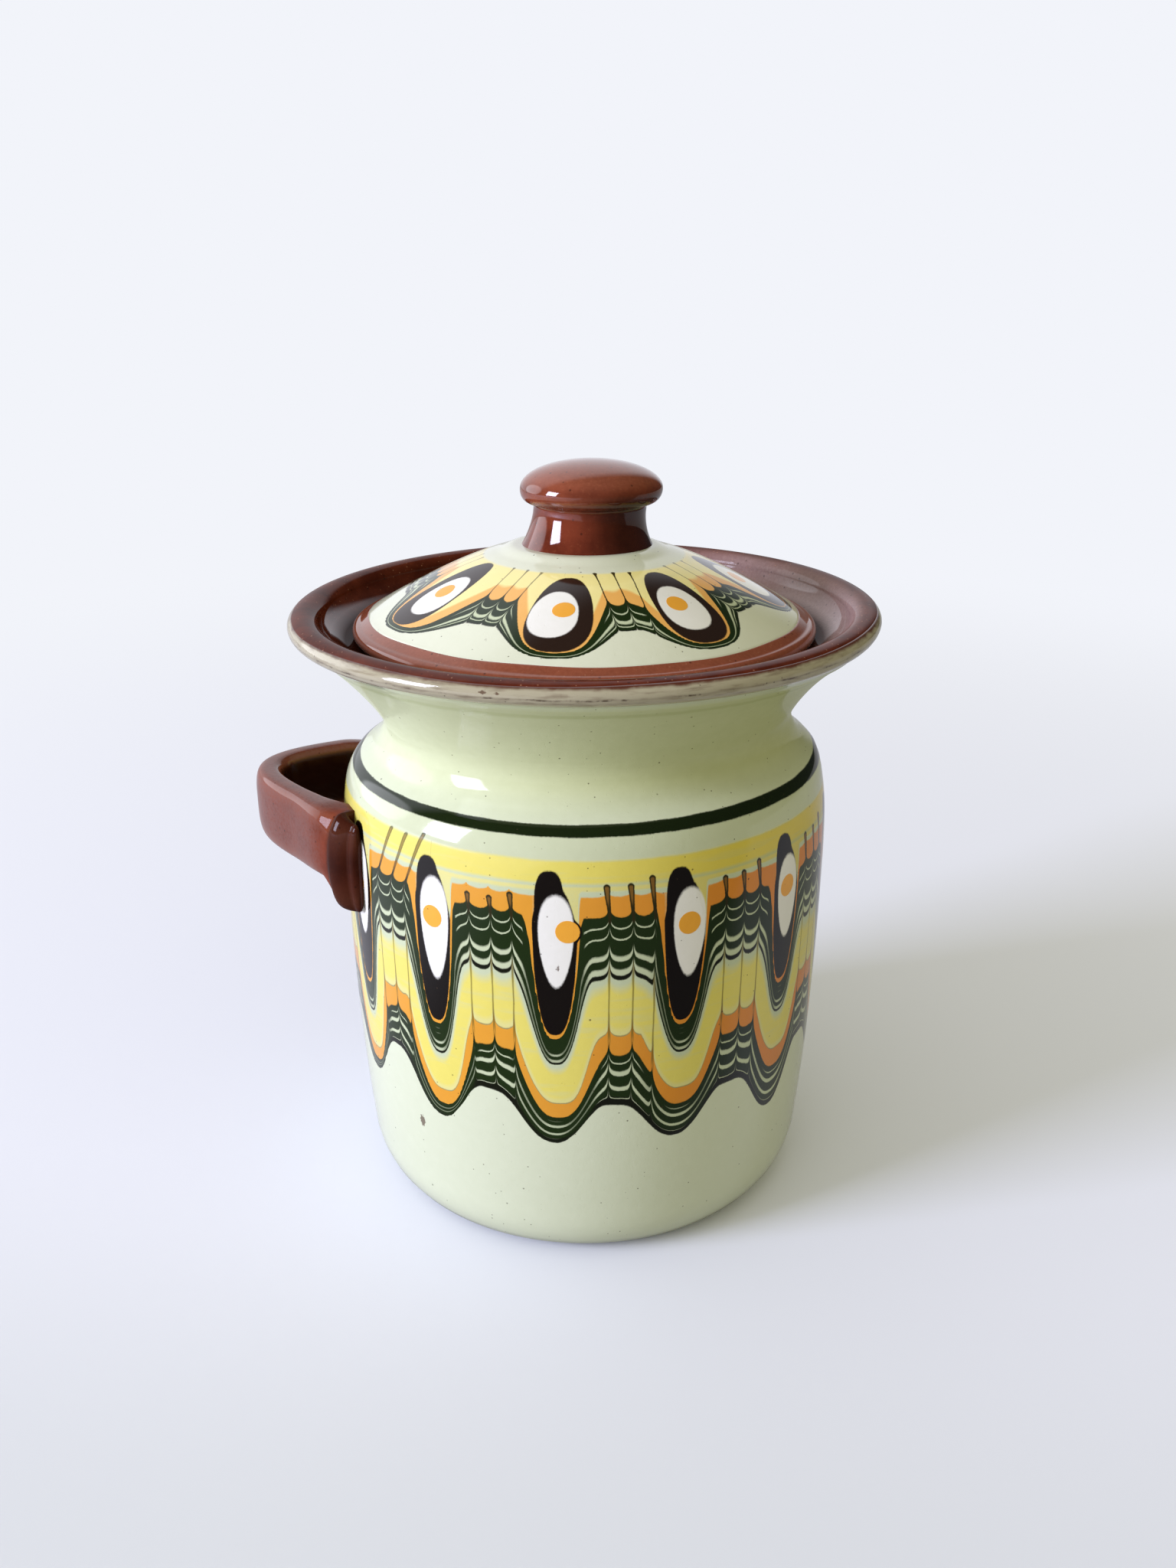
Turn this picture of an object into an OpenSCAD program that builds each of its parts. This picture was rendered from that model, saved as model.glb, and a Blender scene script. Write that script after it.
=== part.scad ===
// Mustard pot: a thrown clay pot with a strap handle, and a loose domed lid with a turned knob.
// The pot stands on z = 0 with its axis on z, and the handle points along -x.

/* [Pot] */
// Height from the table to the top of the lip
pot_h = 96; // [86:1:108]
// Diameter over the lip
rim_d = 90; // [86:1:96]
// Outside diameter at the narrowest part of the neck
neck_d = 64; // [58:0.5:68]
// Outside diameter of the belly at its widest
belly_d = 77.6; // [74:0.2:84]
// Outside diameter of the wall just above the rounded foot
foot_d = 74; // [70:0.2:77]
// Diameter of the flat base
base_d = 60; // [50:1:66]
// Height of the rounded foot
foot_h = 9.6; // [6:0.2:14]
// Height from the widest part of the belly to the narrowest part of the neck
shoulder_h = 22; // [18:0.2:26]
// Height from the narrowest part of the neck to the top of the lip
flare_h = 17.4; // [16:0.2:22]
// Thickness of the thrown wall
wall_t = 4.2; // [3:0.1:5]
// Thickness of the floor
floor_t = 5; // [4:0.5:8]
// Thickness of the rolled lip
lip_t = 4.6; // [4:0.2:5.4]

/* [Lid] */
// Depth of the lid's seat below the top of the lip
seat_depth = 5; // [4:0.2:6]
// Width of the groove between the lid's edge and the lip
lid_groove = 4.9; // [4:0.1:6]
// Thickness of the lid's edge
lid_edge_t = 2.4; // [2:0.2:3.6]
// Rise of the dome from the edge to the flat under the knob
dome_rise = 10.6; // [8:0.2:14]
// Thickness of the dome
dome_t = 4; // [3:0.2:5]
// Depth of the locating ring below the seat
ring_depth = 5; // [3:0.5:8]
// Thickness of the locating ring
ring_t = 3; // [2:0.2:4]
// Gap all round between the locating ring and the throat
ring_gap = 1.2; // [0.6:0.1:2]

/* [Knob] */
// Diameter over the cap
cap_d = 21.4; // [20:0.2:24]
// Height of the cap
cap_h = 5.8; // [4.6:0.2:8]
// Diameter of the stem at its waist
stem_d = 18; // [14:0.2:18.8]
// Height of the stem below the cap
stem_h = 7; // [5:0.2:10]
// Diameter of the flared foot on the lid
knob_foot_d = 21; // [19:0.2:24]

/* [Handle] */
// How far the strap stands out from the belly
handle_reach = 17.6; // [14:0.2:24]
// Thickness of the strap
strap_t = 4.6; // [3.6:0.2:5.6]
// Height of the strap at the middle of its loop
strap_h = 11.8; // [9:0.2:13]
// Height of the ends that are pressed on the wall
end_h = 15; // [14:0.5:20]
// Height of the strap's top edge above the widest part of the belly
handle_rise = 9.4; // [4:0.2:11]
// Angle from the middle of the handle to each pressed end
end_angle = 34; // [30:1:40]

/* [Hidden] */
slip_green = [0.86, 0.90, 0.78];
clay_brown = [0.45, 0.21, 0.14];
$fn = 96;

// Radii and heights of the pot's form, from the table up
rim_r = rim_d / 2;
neck_r = neck_d / 2;
belly_r = belly_d / 2;
foot_r = foot_d / 2;
base_r = base_d / 2;
lip_r = lip_t / 2;
lip_z = pot_h - lip_r;
neck_z = pot_h - flare_h;
belly_z = neck_z - shoulder_h;
wall_h = belly_z - foot_h;

// Where the tangents of the shoulder and of the neck's hollow turn the corner
shoulder_turn_z = belly_z + 0.65 * shoulder_h;
neck_turn_z = belly_z + 0.83 * shoulder_h;
flare_turn_z = neck_z + 0.4 * flare_h;

// The flat ledge in the flared mouth that carries the lid's edge, and the throat below it
ledge_z = pot_h - seat_depth;
ledge_gap = 1;
lid_r = rim_r - lip_t - lid_groove;
ledge_r = lid_r + ledge_gap;
throat_r = neck_r - wall_t;
ledge_w = 5;
mouth_r = ledge_r - ledge_w;
inner_r = belly_r - wall_t;
inner_foot_r = foot_r - wall_t;
floor_round = 8;

// The lid, from its seat up
ring_r = throat_r - ring_gap;
ring_inner_r = ring_r - ring_t;
edge_round = lid_edge_t / 2;
knob_foot_r = knob_foot_d / 2;
crown_margin = 0.4;
crown_r = knob_foot_r + crown_margin;
lid_top_z = ledge_z + lid_edge_t + dome_rise;
dome_run = lid_r - edge_round - crown_r;

// The knob, from the lid's crown up
cap_r = cap_d / 2;
stem_r = stem_d / 2;
cap_z = lid_top_z + stem_h;
knob_top_z = cap_z + cap_h;

// Points along a smooth curve from a to b, whose tangents meet at the corner c
// The pull says how far the curve is drawn into the corner
function bend(a, c, b, pull, steps) =
    let (p = a + pull * (c - a), q = b + pull * (c - b))
    [
        for (i = [0 : steps])
            let (t = i / steps, s = 1 - t)
            s * s * s * a + 3 * s * s * t * p + 3 * s * t * t * q + t * t * t * b
    ];

// Points along an arc about c, from angle a to angle b
function arc(c, r, a, b, steps) = [
    for (i = [0 : steps])
        let (q = a + (b - a) * i / steps)
        c + r * [cos(q), sin(q)]
];

// Smooth step from 0 at a to 1 at b
function ease(t, a, b) = let (s = min(1, max(0, (t - a) / (b - a)))) s * s * (3 - 2 * s);

// An S-shaped shoulder from the belly at a up to the neck at b, with its turns at the heights za and zb
function shoulder(a, za, b, zb, steps) =
    let (ca = [a[0], za], cb = [b[0], zb], middle = (ca + cb) / 2)
    concat(bend(a, ca, middle, 0.7, steps), bend(middle, cb, b, 0.6, steps));

// Outside of the pot from the flat base up to the underside of the lip
function pot_outside() = concat(
    bend([base_r, 0], [foot_r, 0], [foot_r, foot_h], 0.6, 6),
    bend([foot_r, foot_h], [belly_r, foot_h + wall_h / 3], [belly_r, belly_z], 0.6, 5),
    shoulder([belly_r, belly_z], shoulder_turn_z, [neck_r, neck_z], neck_turn_z, 6),
    bend([neck_r, neck_z], [neck_r, flare_turn_z], [rim_r - lip_r, lip_z - lip_r], 0.36, 8)
);

// The rolled lip, from its underside round the outside and over the top
// It starts this many degrees below level, where the flare runs into it
lip_under = 80;
function lip() = arc([rim_r - lip_r, lip_z], lip_r, -lip_under, 180, 13);

// Inside of the pot from the lip down to the middle of the floor
function pot_inside() = concat(
    bend([rim_r - lip_t, lip_z], [rim_r - lip_t, lip_z - lip_r / 2], [ledge_r, ledge_z], 0.5, 4),
    bend([mouth_r, ledge_z], [throat_r, ledge_z - 1.5 * wall_t], [throat_r, neck_z], 0.5, 4),
    shoulder([throat_r, neck_z], neck_turn_z - wall_t / 2,
             [inner_r, belly_z], shoulder_turn_z - wall_t / 2, 5),
    bend([inner_r, belly_z], [inner_r, belly_z / 2], [inner_foot_r, floor_t + floor_round], 0.6, 3),
    bend([inner_foot_r, floor_t + floor_round], [inner_foot_r, floor_t],
         [inner_foot_r - floor_round, floor_t], 0.55, 5),
    [[0, floor_t]]
);

// Points of a list, without those that repeat the point before them
function tidy(p) = [
    for (i = [0 : len(p) - 1])
        if (i == 0 || norm(p[i] - p[max(0, i - 1)]) > 0.001) p[i]
];

module turned(p) {
    rotate_extrude() polygon(tidy(p));
}

module pot_body() {
    color(slip_green)
        turned(concat([[0, 0]], pot_outside(), lip(), pot_inside()));
}

// The pot as a filled form, on which the handle is seated
module pot_envelope() {
    turned(concat([[0, 0]], pot_outside(), [[0, lip_z - lip_r]]));
}

// Middle line of one half of the strap, seen from above: it leaves its pressed end along the wall,
// turns outwards and comes round to the tip of the loop
end_run = 0.45 * handle_reach;
tip_run = 0.34 * handle_reach;
seat_share = 0.4;
handle_top = belly_z + handle_rise;
end_r = belly_r + seat_share * strap_t;
tip_x = -(belly_r + handle_reach - strap_t / 2);
end_point = end_r * [-cos(end_angle), -sin(end_angle)];
end_heading = [-sin(end_angle), cos(end_angle)];
half_steps = 22;
half_line =
    let (a = end_point, p = a + end_run * end_heading, q = [tip_x, -tip_run], b = [tip_x, 0])
    [
        for (i = [0 : half_steps])
            let (t = i / half_steps, s = 1 - t)
            s * s * s * a + 3 * s * s * t * p + 3 * s * t * t * q + t * t * t * b
    ];

// Height and thickness of the strap at t, from 0 at the pressed end to 1 at the tip
// The strap is wide at its end, and fullest where it leaves the wall
flare_share = 0.22;
root_swell = 0.25;
function strap_height(t) = end_h + (strap_h - end_h) * ease(t, 0, flare_share);
function strap_thickness(t) =
    strap_t * (1 + root_swell * ease(t, 0, 0.15) * (1 - ease(t, 0.2, 0.45)));

// Heading of the middle line at step i
function heading(line, i) =
    let (d = line[min(i + 1, len(line) - 1)] - line[max(i - 1, 0)]) d / norm(d);

// One ring of the strap: a rounded rectangle across the middle line, shrunk by k at the blunt ends
section_steps = 28;
section_power = 0.55;
function rounded(c) = sign(c) * pow(abs(c), section_power);
function strap_ring(p, along, t, k) = [
    for (j = [0 : section_steps - 1])
        let (a = 360 * j / section_steps,
             across = k * strap_thickness(t) / 2 * rounded(cos(a)),
             up = (strap_height(t) - strap_t * (1 - k)) / 2 * rounded(sin(a)))
        [p[0] + across * along[1], p[1] - across * along[0],
         handle_top - strap_height(t) / 2 + up]
];

// Rings of one half, led by a few rings that round the blunt end
end_round = 0.35 * strap_t;
function half_rings() = concat(
    [for (q = [80 : -20 : 20])
        strap_ring(half_line[0] - end_round * sin(q) * end_heading, end_heading, 0, cos(q))],
    [for (i = [0 : half_steps])
        strap_ring(half_line[i], i == half_steps ? [0, 1] : heading(half_line, i), i / half_steps, 1)]
);

// A ring mirrored to the other half
function mirrored(ring) = [for (p = ring) [p[0], -p[1], p[2]]];

module strap() {
    near = half_rings();
    count = len(near);
    rings = concat(near, [for (i = [count - 2 : -1 : 0]) mirrored(near[i])]);
    last = len(rings) - 1;
    n = section_steps;
    sides = [
        for (i = [0 : last - 1], j = [0 : n - 1])
            let (a = i * n + j, b = i * n + (j + 1) % n)
            each [[a, b, b + n], [a, b + n, a + n]]
    ];
    caps = [[for (j = [n - 1 : -1 : 0]) j], [for (j = [0 : n - 1]) last * n + j]];
    polyhedron([for (r = rings) each r], concat(sides, caps));
}

module strap_handle() {
    color(clay_brown)
        difference() {
            strap();
            pot_envelope();
        }
}

// Top of the lid from the flat crown down over the dome and round the edge
crown_run = 0.34 * dome_run;
crown_fall = 0.1 * dome_rise;
function lid_outside() = concat(
    bend([crown_r, lid_top_z], [crown_r + crown_run, lid_top_z - crown_fall],
         [lid_r - edge_round, ledge_z + lid_edge_t], 0.6, 14),
    arc([lid_r - edge_round, ledge_z + edge_round], edge_round, 90, -90, 10)
);

// Underside of the lid: the flat seat, the locating ring and the hollow of the dome
function lid_inside() = concat(
    [[ring_r, ledge_z]],
    arc([ring_r - ring_t / 2, ledge_z - ring_depth + ring_t / 2], ring_t / 2, 0, -180, 8),
    bend([ring_inner_r, ledge_z], [ring_inner_r, lid_top_z - dome_t],
         [crown_r / 2, lid_top_z - dome_t], 0.55, 10),
    [[0, lid_top_z - dome_t]]
);

module lid() {
    color(slip_green)
        turned(concat([[0, lid_top_z]], lid_outside(), lid_inside()));
}

// Knob from its foot on the crown up the waisted stem and over the cap
cap_edge = 0.2 * cap_h;
function knob_profile() = concat(
    bend([knob_foot_r, lid_top_z], [stem_r, lid_top_z + stem_h / 4],
         [stem_r, lid_top_z + 0.6 * stem_h], 0.6, 8),
    bend([stem_r, cap_z - cap_edge / 2], [stem_r, cap_z], [stem_r + cap_edge / 2, cap_z], 0.6, 4),
    bend([stem_r + cap_edge / 2, cap_z], [cap_r, cap_z], [cap_r, cap_z + cap_edge], 0.6, 6),
    bend([cap_r, cap_z + cap_edge], [cap_r, knob_top_z], [0, knob_top_z], 0.58, 12)
);

module knob() {
    color(clay_brown)
        turned(concat([[0, lid_top_z]], knob_profile()));
}

pot_body();
strap_handle();
lid();
knob();
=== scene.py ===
# %% [markdown]
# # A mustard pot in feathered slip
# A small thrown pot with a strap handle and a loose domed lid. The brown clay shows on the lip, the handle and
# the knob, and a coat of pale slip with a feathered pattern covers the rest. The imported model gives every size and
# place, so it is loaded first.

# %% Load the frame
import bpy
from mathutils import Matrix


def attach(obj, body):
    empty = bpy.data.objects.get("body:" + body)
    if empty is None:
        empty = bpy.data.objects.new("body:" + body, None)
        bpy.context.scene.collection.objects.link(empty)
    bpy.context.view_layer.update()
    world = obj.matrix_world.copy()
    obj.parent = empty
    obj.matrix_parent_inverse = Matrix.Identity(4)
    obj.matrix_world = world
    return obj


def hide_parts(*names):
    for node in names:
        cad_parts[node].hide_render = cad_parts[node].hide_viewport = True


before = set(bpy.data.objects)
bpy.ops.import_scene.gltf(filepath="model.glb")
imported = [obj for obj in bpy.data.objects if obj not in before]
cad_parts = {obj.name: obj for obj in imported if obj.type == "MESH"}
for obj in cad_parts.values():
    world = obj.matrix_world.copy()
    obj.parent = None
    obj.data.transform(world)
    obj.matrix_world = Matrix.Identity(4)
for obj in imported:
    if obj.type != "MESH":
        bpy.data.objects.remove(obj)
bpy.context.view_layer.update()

import bpy
import numpy as np
from mathutils import Vector

# %% [markdown]
# ## Lines that a potter would cut as a template
# A thrown form is one line turned about the wheel's axis. The lines here are cubic curves between the points
# where the form changes, worked out in millimetres, because a potter's sizes read better that way. Each curve is
# pulled into the corner where its two tangents meet, which is also how the solid model is drawn.


# %% Curves and lengths
def cubic(start, near, far, end, steps):
    """Cubic curve with two handles: (1-t)^3 start + 3(1-t)^2 t near + 3(1-t) t^2 far + t^3 end."""
    t = np.linspace(0, 1, steps + 1)[:, None]
    return (1 - t) ** 3 * start + 3 * (1 - t) ** 2 * t * near + 3 * (1 - t) * t**2 * far + t**3 * end


def bend(start, corner, end, pull, steps=40):
    """Cubic from start to end: each handle lies the share `pull` of the way to the corner of the tangents."""
    start, corner, end = np.array([start, corner, end], float)
    return cubic(start, start + pull * (corner - start), end + pull * (corner - end), end, steps)


def unit(degrees):
    """Direction at an angle: its cosine and its sine."""
    turn = np.radians(degrees)
    return np.stack([np.cos(turn), np.sin(turn)], -1)


def arc(centre, radius, first, last, steps=40):
    """Points on a circle, or on an oval with two radii, about the centre, between two angles in degrees."""
    return np.array(centre) + np.array(radius) * unit(np.linspace(first, last, steps + 1))


def join(*lines):
    """One line from several, without points that repeat the one before them."""
    line = np.concatenate([np.atleast_2d(np.array(part, float)) for part in lines])
    step = np.hypot(*np.diff(line, axis=0).T)
    return line[np.concatenate([[True], step > 1e-6])]


def run(line):
    """Distance along a line at each of its points: the running sum of its steps."""
    return np.concatenate([[0], np.cumsum(np.hypot(*np.diff(line, axis=0).T))])


def follow(line, distance, raised=0.0):
    """Radius and height at a distance along a line, moved by `raised` along the normal that points outwards."""
    length, slope = run(line), np.gradient(line, run(line), axis=0)
    slope /= np.hypot(*slope.T)[:, None]
    r, z, dr, dz = (np.interp(distance, length, column) for column in (*line.T, *slope.T))
    return r + raised * dz, z - raised * dr


def ease(value, low, high):
    """Smooth step from 0 at low to 1 at high: 3t^2 - 2t^3."""
    t = np.clip((value - low) / (high - low), 0, 1)
    return t * t * (3 - 2 * t)


# %% The pot's line, from the base up the outside, over the lip and down the inside
RIM, NECK, BELLY, FOOT, BASE, LIP = 45.0, 32.0, 38.8, 37.0, 30.0, 2.3
POT_TOP, NECK_Z, BELLY_Z, FOOT_Z, WALL = 96.0, 78.6, 56.6, 9.6, 4.2
SHOULDER_H, FLARE_H, LIP_HALF_H = 22.0, 17.4, 1.68
SHOULDER_TURN, NECK_TURN = BELLY_Z + 0.695 * SHOULDER_H, BELLY_Z + 0.83 * SHOULDER_H
FLARE_TURN = NECK_Z + 0.4 * FLARE_H


def shoulder(start, start_turn, end, end_turn):
    """S-curve made of two bends that meet halfway between the corners of their tangents."""
    first, last = np.array([start[0], start_turn]), np.array([end[0], end_turn])
    middle = (first + last) / 2
    return join(bend(start, first, middle, 0.7), bend(middle, last, end, 0.6))


lip = arc([RIM - LIP, POT_TOP - LIP], [LIP, LIP_HALF_H], -80, 180)
outside = join(
    bend([BASE, 0], [FOOT, 0], [FOOT, FOOT_Z], 0.6),
    bend([FOOT, FOOT_Z], [BELLY, FOOT_Z + (BELLY_Z - FOOT_Z) / 3], [BELLY, BELLY_Z], 0.6),
    shoulder([BELLY, BELLY_Z], SHOULDER_TURN, [NECK, NECK_Z], NECK_TURN),
    bend([NECK, NECK_Z], [NECK, FLARE_TURN], [RIM - LIP, POT_TOP - 2 * LIP], 0.36),
    lip,
)
LIP_START = run(outside)[-1] - run(lip)[-1]
print("outside line", len(outside), "points,", round(run(outside)[-1], 1), "mm long, lip from", round(LIP_START, 1))

# %% [markdown]
# ## From a grid of points to a piece
# A turned piece is a grid: rows follow the line, and columns go round the axis. The mesh is filled from whole
# arrays, the last column is joined to the first, and a row that shrinks to one point becomes a pole. Every piece
# also gets a map for baked colours, cut in strips, so that a busy band can have more room than a plain one.
# Angles are counted from the side that faces the camera, and grow to the right of it.

# %% The mesh builder
FACING = -80.0


def angles(columns):
    """One angle to a column, in degrees, all the way round."""
    return np.linspace(-180, 180, columns, endpoint=False)


def stacked(columns, *parts):
    """Radii and heights of a grid, from parts that follow each other: pairs of arrays (rows, 1) or (rows, columns)."""
    return [np.concatenate([np.broadcast_to(part, (len(part), columns)) for part in half]) for half in zip(*parts)]


def spun(r, z, columns):
    """Grid of points: each row is a circle of radius r at height z, a column every 360/columns degrees."""
    across, deep = unit(angles(columns) + FACING).T
    return np.stack([r * across, r * deep, np.broadcast_to(z, (len(z), columns))], -1)


def handmade(grid):
    """A form thrown by hand is never quite true: the neck sits a little to the camera's right and rises to that side,
    and the lip is a tilted plane. Smooth steps along the height say how much of each a point gets."""
    (dx, dy), aside = unit(FACING + 90), 0.46
    x, y, z = np.moveaxis(grid, -1, 0)
    side, back = x * dx + y * dy, y * dx - x * dy
    neck = ease(z, 68, 76) * ease(z, 92, 84)
    rim = ease(z, 90.8, 93.5) * ease(np.hypot(x, y), 38.5, 41.5)
    lift = neck * 0.7 * side / NECK + rim * (0.5 + 0.37 * side / RIM + 0.6 * back / RIM)
    return grid + np.stack([neck * aside * dx, neck * aside * dy, lift], -1)


def bake_map(columns, strips, gutter=0.004):
    """Corners of every face in the unit square. A strip is (rows, share of the square, folds): a strip that is
    folded in two has half of its columns on each of two rows, one above the other."""
    corners, base = [], 0.0
    for rows, share, folds in strips:
        tall = share / folds - gutter
        column, row = np.meshgrid(np.arange(columns), np.arange(rows))
        u = gutter + (1 - 2 * gutter) * ((column * folds / columns) % 1)
        wide = (1 - 2 * gutter) * folds / columns
        v = base + gutter / 2 + (column * folds // columns) * share / folds + tall * row / rows
        high = tall / rows
        quad = [[u, v], [u + wide, v], [u + wide, v + high], [u, v + high]]
        corners.append(np.moveaxis(np.array(quad), (0, 1), (2, 3)))
        base += share
    return np.concatenate(corners)


def add_object(name, data):
    """Puts an object with this data in the scene."""
    made = bpy.data.objects.new(name, data)
    bpy.context.scene.collection.objects.link(made)
    return made


def make_piece(name, grid, strips, values=None, ring=False):
    """A mesh from a grid of points in millimetres (rows, columns, xyz). Columns close on themselves, rows do so
    where ring is true, and each quad runs along its row first, so that faces point outwards."""
    rows, columns = grid.shape[:2]
    pole = np.ptp(grid, axis=1).max(-1) < 1e-6
    keep = np.ones((rows, columns), bool)
    keep[pole, 1:] = False
    index = np.cumsum(keep).reshape(rows, columns) - 1
    low = index if ring else index[:-1]
    high = np.roll(index, -1, 0) if ring else index[1:]
    quads = np.stack([low, np.roll(low, -1, 1), np.roll(high, -1, 1), high], -1)
    corners = bake_map(columns, strips)
    faces, places = [], []
    for number in range(len(quads)):
        pick = [0, 2, 3] if pole[number] else [0, 1, 2] if pole[(number + 1) % rows] else [0, 1, 2, 3]
        faces += quads[number][:, pick].tolist()
        places.append(corners[number][:, pick].reshape(-1, 2))
    mesh = bpy.data.meshes.new(name)
    mesh.from_pydata((grid[keep] * 0.001).tolist(), [], faces)
    mesh.uv_layers.new(name="OFBake").data.foreach_set("uv", np.concatenate(places).astype(np.float32).ravel())
    for key, value in (values or {}).items():
        spread = np.broadcast_to(value, (rows, columns))[keep].astype(np.float32)
        mesh.attributes.new(key, "FLOAT", "POINT").data.foreach_set("value", spread)
    mesh.shade_smooth()
    print(name, len(mesh.vertices), "points", len(mesh.polygons), "faces")
    return add_object(name, mesh)


def belongs(piece, body, node):
    """Ties a piece to its body and hides the CAD node that it stands for."""
    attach(piece, body)
    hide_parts(node)


# %% [markdown]
# ## How the feathered pattern comes about
# The potter turns the pot and lays rings of wet slip on it: yellow, orange, dark green and pale lines between.
# Drops of dark slip, with white in them and an orange dot, are set in a row. They run down and drag the rings
# with them. A point combed through the rings between the drops pulls them up into small cusps.
# Rings, drag and comb are simple to describe, and then every line nests in the next one as wet slip does. A few ring
# edges are drawn first, each with its own valley under a drop. `layer`, the height that the slip of a point had
# before the drag, is read off between two of them.


# %% Undoing the drag
def valleys(away, flat, sunk, shape):
    """Heights of ring edges (edges, columns): flat - (flat - sunk) * (1 - (away/width)^sharp)^steep, where away is
    the angle from the nearest drop. A row of shape holds width, sharp and steep to the left, then to the right. An
    edge stays at least 0.15 mm above the one below it."""
    shape = np.array(shape, float)[:, :, None]
    width, sharp, steep = np.where(away < 0, shape[:, :3].swapaxes(0, 1), shape[:, 3:].swapaxes(0, 1))
    edges = flat - (flat - sunk) * np.clip(1 - np.clip(np.abs(away) / width, 0, 1) ** sharp, 0, 1) ** steep
    gap = 0.15 * np.arange(len(edges))[:, None]
    return np.maximum.accumulate(edges - gap, 0) + gap


def undrag(height, edges, levels):
    """The level of each point before the drag: levels[k] on edge k and in proportion between two edges. Below the
    first edge and above the last it goes on with the slope 1."""
    layer = levels[0] + np.minimum(height - edges[0], 0) + np.maximum(height - edges[-1], 0)
    for low, high, level, step in zip(edges, edges[1:], levels, np.diff(levels)):
        layer = layer + step * np.clip((height - low) / (high - low), 0, 1)
    return layer


def oval(across, along, half_width, half_length, power=2.0):
    """About the distance inside an oval, in mm: half width times (1 - (|x/a|^n + |y/b|^n)^(1/n))."""
    reach = np.abs(across / half_width) ** power + np.abs(along / half_length) ** power
    return half_width * (1 - reach ** (1 / power))


def spots(angle, height, round_mm, listed):
    """Small blemishes: the greatest of some ovals, each given by its angle, height, half width and half length."""
    return np.max([oval((angle - a) * round_mm, height - h, w, l) for a, h, w, l in listed], 0)


def nearest(angle, places):
    """For each angle, the signed step from the nearest of the places round the circle, and its number."""
    step = (angle[:, None] - places + 180) % 360 - 180
    number = np.abs(step).argmin(1)
    return step[np.arange(len(angle)), number], number


def squeeze(layer, height, r):
    """How many mm of layer lie in 1 mm of wall: the length of the layer's gradient along and round the wall."""
    rise = np.gradient(layer, axis=0) / np.gradient(height, axis=0)
    turn = (np.roll(layer, -1, 1) - np.roll(layer, 1, 1)) * layer.shape[1] / (4 * np.pi * r)
    return np.hypot(rise, turn)


# %% Drops round the pot: five face the camera, and the others vary about them by a seeded spread
chance = np.random.default_rng(11)
POT_COLUMNS = 624
pot_angle = angles(POT_COLUMNS)
ROUND = np.pi / 180 * BELLY


def spread(seen, count, amount):
    """Values for every drop: those of the drops that are seen, then seeded ones about their mean."""
    rest = np.mean(seen) + amount * chance.uniform(-1, 1, count - len(seen))
    return np.concatenate([seen, rest])


def drawn(seen, count, low, high):
    """Values for every gap: those of the gaps that are seen, then seeded ones between two bounds."""
    return np.concatenate([seen, chance.uniform(low, high, count - len(seen))])


DROPS, DROP_STEP = 13, 27.78
drop_at = np.concatenate([[-60.3, -33.9, -6.2, 21.2, 49.7], 49.7 + DROP_STEP * np.arange(1, 9)])
head_at = spread([-0.4, -0.9, -0.9, -1.1, -0.9], DROPS, 0.4)
head_top = spread([70.3, 70.4, 71.0, 70.7, 71.0], DROPS, 0.4)
white_at = spread([0.1, 0.7, 0.5, 1.2, 0.7], DROPS, 0.5)
white_end = spread([52.0, 51.4, 53.3, 53.8, 54.2], DROPS, 0.8)
yolk_at = spread([-0.9, 0.2, 2.9, 1.1, 0.5], DROPS, 1.0)
yolk_height = spread([60.6, 61.3, 62.1, 62.1, 62.6], DROPS, 0.5)
print("drops at", np.round((drop_at + 180) % 360 - 180).astype(int).tolist())

# %% Rings and combs on the wall
POT_LEVELS = np.array([33.3, 42.0, 45.0, 54.45, 64.1, 67.2])
POT_TILT = np.array([2.8, 0.8, 1.0, 0.8, 0.6, 0.1])
POT_SHAPE = [
    (14.0, 2.5, 3.2, 11.0, 2.0, 2.0),
    (10.5, 2.4, 2.0, 12.0, 3.0, 3.0),
    (9.0, 2.2, 1.15, 13.0, 4.5, 13.0),
    (10.0, 2.4, 3.5, 8.5, 3.0, 3.0),
    (6.8, 3.0, 2.8, 5.7, 2.6, 0.8),
    (4.7, 2.8, 0.6, 5.2, 2.8, 0.6),
]
POT_SUNK = np.array([
    (27.6, 29.4, 31.8, 38.4, 43.5, 44.0),
    (27.4, 29.6, 32.1, 38.7, 43.8, 44.3),
    (26.9, 31.4, 33.8, 40.7, 45.05, 45.6),
    (26.7, 32.3, 35.0, 41.4, 46.15, 46.7),
    (24.6, 31.8, 34.8, 41.6, 46.7, 47.3),
])
own = chance.uniform(-1, 1, (8, 1)) * [0.5, 1.0, 1.0, 1.2, 1.2, 1.2]
POT_SUNK = np.concatenate([POT_SUNK, POT_SUNK.mean(0) + own])
BODY_Z, BODY_SIZE, HEAD_SIZE = 56, (3.7, 13.2), (2.05, 5.0)
WHITE_TOP, WHITE_HALF, YOLK = 67.5, 2.4, 1.72
CREASE = LIP_START + run(lip)[11]
POT_MARKS = [
    (-16.2, CREASE + 0.7, 0.5, 0.3), (-13.8, CREASE + 0.7, 0.4, 0.25), (-41.2, 24.1, 0.6, 1.2), (-5.3, 56.4, 0.3, 0.45)
]


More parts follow.
